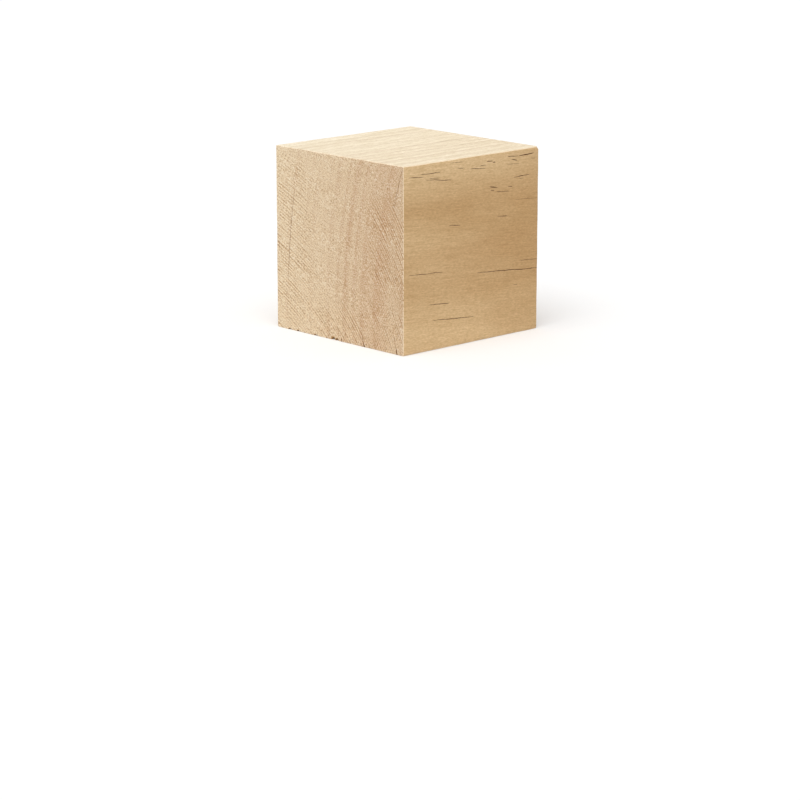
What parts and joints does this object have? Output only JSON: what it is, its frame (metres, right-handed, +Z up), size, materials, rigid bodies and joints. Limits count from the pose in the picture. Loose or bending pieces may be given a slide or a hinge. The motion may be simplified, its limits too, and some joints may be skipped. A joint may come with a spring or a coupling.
{
  "type": "wooden cube",
  "caption": "Plain unfinished pine cube with two sawn end-grain faces, four planed faces and lightly eased edges.",
  "frame": {"origin": "centre of the face that the cube rests on", "axes": "+Z up, X along the grain, so the -X and +X faces are end grain; -X is the sawn face with the torn lower edge"},
  "size_m": [0.05, 0.05, 0.05],
  "materials": {
    "pine": "bare, planed on four faces and sawn on the two end-grain faces"
  },
  "bodies": {
    "root": {"wooden_cube": "pine"}
  },
  "joints": []
}
